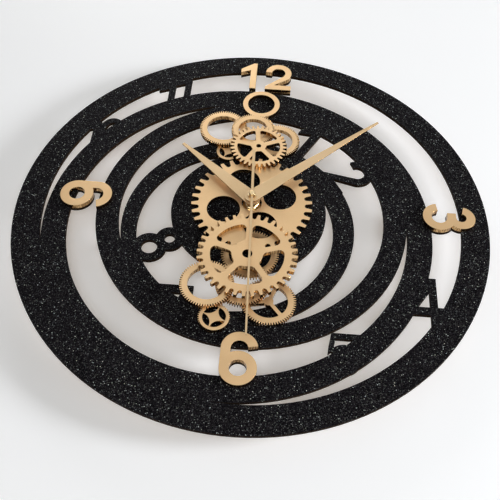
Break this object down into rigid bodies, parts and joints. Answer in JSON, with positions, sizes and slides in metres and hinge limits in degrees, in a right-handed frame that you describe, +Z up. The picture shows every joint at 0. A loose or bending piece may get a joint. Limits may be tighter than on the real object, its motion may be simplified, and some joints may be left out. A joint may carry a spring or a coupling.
{
  "type": "gear wall clock",
  "caption": "Round wall clock: a black dial plate pierced into off-centre rings and numerals, stacked gold gears in front, tapered hands and a battery quartz movement behind.",
  "frame": {"origin": "centre of the hanger's hole, in the back face of its tab", "axes": "X to the right of the dial, Z up towards twelve, Y back to the wall: the dial faces -Y"},
  "size_m": [0.3999, 0.0467, 0.4],
  "materials": {
    "black_paint": "black paint with fine pale sparkle",
    "gold_paint": "satin gold paint, brown cut edges",
    "hand_gold": "satin gold",
    "brass": "polished",
    "rubber": "matte",
    "steel": "plated",
    "case_plastic": "moulded black",
    "cover_plastic": "moulded black, fine grain",
    "knob_plastic": "moulded pale grey",
    "gear_plastic": "moulded white",
    "battery_sleeve": "dark printed sleeve on a metal can",
    "board": "green circuit board",
    "chip": "black sealing drop",
    "copper": "enamelled copper wire"
  },
  "bodies": {
    "clock": {"numeral_12": "gold_paint", "numeral_3": "gold_paint", "numeral_6": "gold_paint", "numeral_9": "gold_paint", "crown_ring": "gold_paint", "upper_left_gear": "gold_paint", "upper_middle_gear": "gold_paint", "upper_right_gear": "gold_paint", "upper_spoked_gear": "gold_paint", "upper_small_wheel": "gold_paint", "centre_gear": "gold_paint", "lower_gear": "gold_paint", "lower_back_gear": "gold_paint", "lower_left_gear": "gold_paint", "lower_middle_gear": "gold_paint", "lower_right_gear": "gold_paint", "lower_small_wheel": "gold_paint", "lower_small_gear": "gold_paint", "dial_plate": "black_paint", "centre_spacer": "black_paint", "brass_washer": "brass", "hex_nut": "brass", "threaded_bushing": "brass", "rubber_washer": "rubber", "hanger_plate": "steel", "movement_case": "case_plastic", "movement_back_cover": "cover_plastic", "positive_contact": "steel", "negative_contact": "steel", "circuit_board": "board", "quartz_crystal": "steel", "sealed_chip": "chip", "stator": "steel", "coil_core": "steel", "coil_bobbin": "gear_plastic", "drive_coil": "copper"},
    "second": {"second_hand": "hand_gold", "second_hand_cap": "brass", "seconds_wheel": "gear_plastic"},
    "minute": {"minute_hand": "hand_gold", "minute_hand_collet": "brass", "minute_hand_nut": "brass", "centre_wheel": "gear_plastic"},
    "hour": {"hour_hand": "hand_gold", "hour_hand_collet": "brass", "hour_wheel": "gear_plastic"},
    "minute_works": {"minute_wheel": "gear_plastic"},
    "knob": {"setting_knob": "knob_plastic"},
    "third": {"third_wheel": "gear_plastic"},
    "intermediate": {"intermediate_wheel": "gear_plastic"},
    "rotor": {"rotor": "gear_plastic"},
    "battery": {"battery": "battery_sleeve"}
  },
  "joints": [
    {"name": "second_hand_turn", "type": "hinge", "parent": "clock", "child": "second", "pos_m": [0, 0, -0.036], "axis": [0, 1, 0], "continuous": true},
    {"name": "minute_hand_turn", "type": "hinge", "parent": "clock", "child": "minute", "pos_m": [0, 0, -0.036], "axis": [0, 1, 0], "continuous": true},
    {"name": "hour_hand_turn", "type": "hinge", "parent": "clock", "child": "hour", "pos_m": [0, 0, -0.036], "axis": [0, 1, 0], "continuous": true},
    {"name": "minute_wheel_turn", "type": "hinge", "parent": "clock", "child": "minute_works", "pos_m": [0, 0, -0.026], "axis": [0, 1, 0], "continuous": true},
    {"name": "setting_knob_turn", "type": "hinge", "parent": "clock", "child": "knob", "pos_m": [0.005, 0, -0.01734], "axis": [0, 1, 0], "continuous": true},
    {"name": "third_wheel_turn", "type": "hinge", "parent": "clock", "child": "third", "pos_m": [0.00935, 0, -0.0306], "axis": [0, 1, 0], "continuous": true},
    {"name": "intermediate_wheel_turn", "type": "hinge", "parent": "clock", "child": "intermediate", "pos_m": [-0.0097, 0, -0.0304], "axis": [0, 1, 0], "continuous": true},
    {"name": "rotor_turn", "type": "hinge", "parent": "clock", "child": "rotor", "pos_m": [-0.01366, 0, -0.02354], "axis": [0, 1, 0], "continuous": true},
    {"name": "battery_out", "type": "slide", "parent": "clock", "child": "battery", "axis": [0, 1, 0], "range_m": [0, 0.02]}
  ],
  "couplings": [
    {"joint": "minute_hand_turn", "follows": "second_hand_turn", "ratio": 0.016667},
    {"joint": "hour_hand_turn", "follows": "second_hand_turn", "ratio": 0.0013889},
    {"joint": "minute_wheel_turn", "follows": "second_hand_turn", "ratio": -0.0055556},
    {"joint": "setting_knob_turn", "follows": "second_hand_turn", "ratio": 0.016667},
    {"joint": "third_wheel_turn", "follows": "second_hand_turn", "ratio": -0.13333},
    {"joint": "intermediate_wheel_turn", "follows": "second_hand_turn", "ratio": -6},
    {"joint": "rotor_turn", "follows": "second_hand_turn", "ratio": 30}
  ]
}
